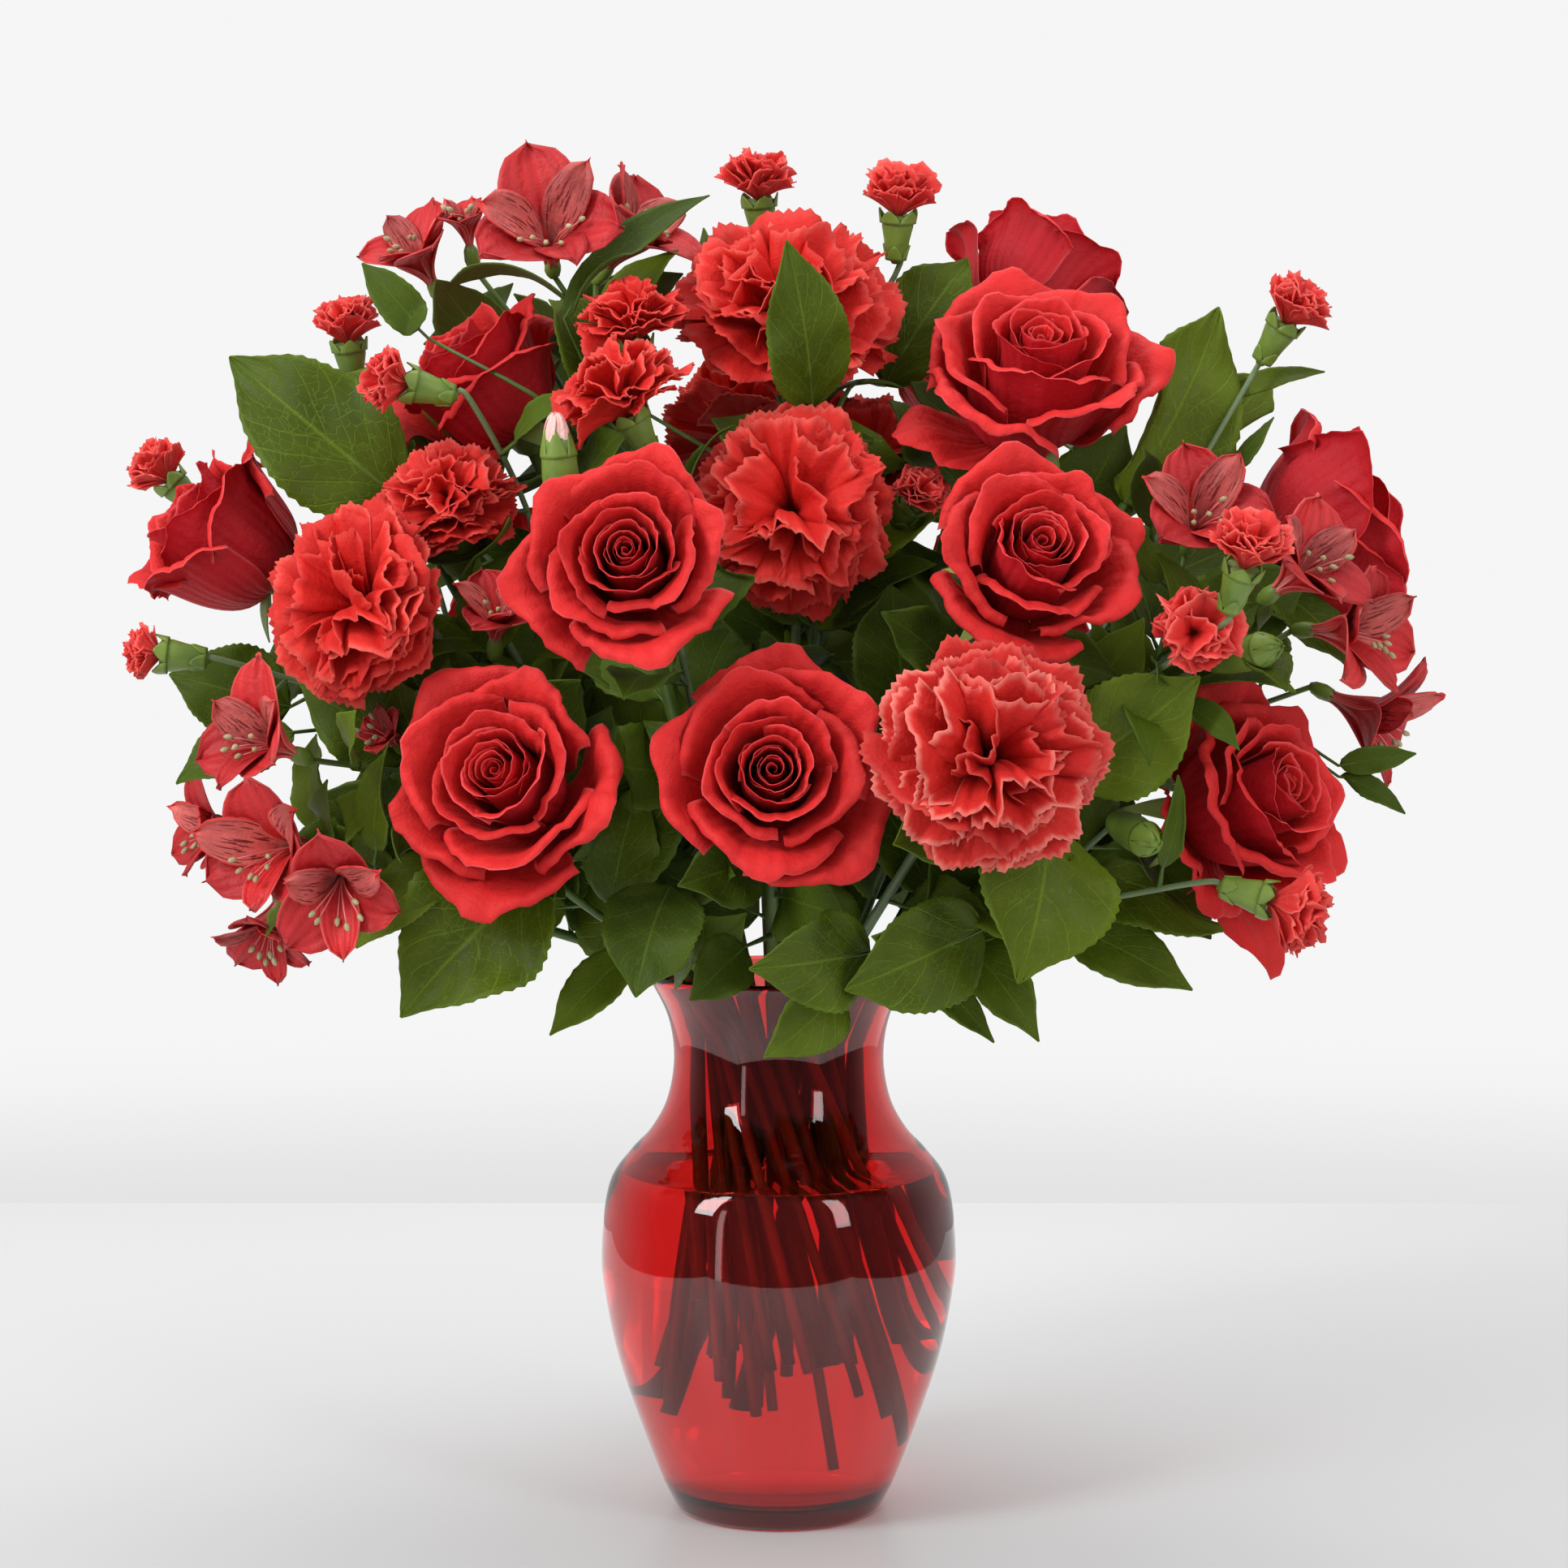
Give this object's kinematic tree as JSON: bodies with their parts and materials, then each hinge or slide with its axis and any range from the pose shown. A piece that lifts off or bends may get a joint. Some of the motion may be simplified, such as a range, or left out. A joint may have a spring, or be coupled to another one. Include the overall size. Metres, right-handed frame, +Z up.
{
  "type": "mixed flower bouquet in a vase",
  "caption": "Red roses, carnations, small spray carnations and alstroemerias with salal leaves, in a ruby glass vase of water.",
  "frame": {"origin": "middle of the flat underside of the vase", "axes": "+Z up through the vase; the front of the bouquet faces -Y, and +X is to the right of someone who looks at the front"},
  "size_m": [0.4924, 0.3142, 0.5115],
  "materials": {
    "vase_glass": "clear ruby red, glossy",
    "water": "clear water",
    "rose_petals": "velvety deep red petals",
    "carnation_petals": "matte bright red ruffled petals",
    "alstroemeria_tepals": "satin crimson tepals with dark streaks",
    "stems": "smooth green stems, cups and sepals",
    "salal_leaves": "glossy veined dark green leaves"
  },
  "bodies": {
    "root": {"alstroemeria_back": "alstroemeria_tepals", "alstroemeria_left": "alstroemeria_tepals", "alstroemeria_low_left": "alstroemeria_tepals", "alstroemeria_right": "alstroemeria_tepals", "alstroemeria_top": "alstroemeria_tepals", "carnation_back_low_bloom": "carnation_petals", "carnation_back_low_stem": "stems", "carnation_back_top_bloom": "carnation_petals", "carnation_back_top_stem": "stems", "carnation_centre_back_bloom": "carnation_petals", "carnation_centre_back_stem": "stems", "carnation_centre_bloom": "carnation_petals", "carnation_centre_stem": "stems", "carnation_left_bloom": "carnation_petals", "carnation_left_stem": "stems", "carnation_left_upper_bloom": "carnation_petals", "carnation_left_upper_stem": "stems", "carnation_right_front_bloom": "carnation_petals", "carnation_right_front_stem": "stems", "carnation_top_bloom": "carnation_petals", "carnation_top_stem": "stems", "mini_carnations_centre": "carnation_petals", "mini_carnations_left": "carnation_petals", "mini_carnations_low_right": "carnation_petals", "mini_carnations_right": "carnation_petals", "mini_carnations_top": "carnation_petals", "mini_carnations_upper_left": "carnation_petals", "rose_back_left_bloom": "rose_petals", "rose_back_left_stem": "stems", "rose_back_right_bloom": "rose_petals", "rose_back_right_stem": "stems", "rose_centre_left_bloom": "rose_petals", "rose_centre_left_stem": "stems", "rose_far_left_bloom": "rose_petals", "rose_far_left_stem": "stems", "rose_far_right_bloom": "rose_petals", "rose_far_right_stem": "stems", "rose_lower_centre_bloom": "rose_petals", "rose_lower_centre_stem": "stems", "rose_lower_left_bloom": "rose_petals", "rose_lower_left_stem": "stems", "rose_lower_right_bloom": "rose_petals", "rose_lower_right_stem": "stems", "rose_right_centre_bloom": "rose_petals", "rose_right_centre_stem": "stems", "rose_top_right_bloom": "rose_petals", "rose_top_right_stem": "stems", "rose_upper_left_bloom": "rose_petals", "rose_upper_left_stem": "stems", "rose_upper_right_bloom": "rose_petals", "rose_upper_right_stem": "stems", "salal_back": "salal_leaves", "salal_left": "salal_leaves", "salal_low_centre": "salal_leaves", "salal_low_left": "salal_leaves", "salal_low_right": "salal_leaves", "salal_right": "salal_leaves", "salal_top": "salal_leaves", "vase": "vase_glass", "water": "water"}
  },
  "joints": []
}
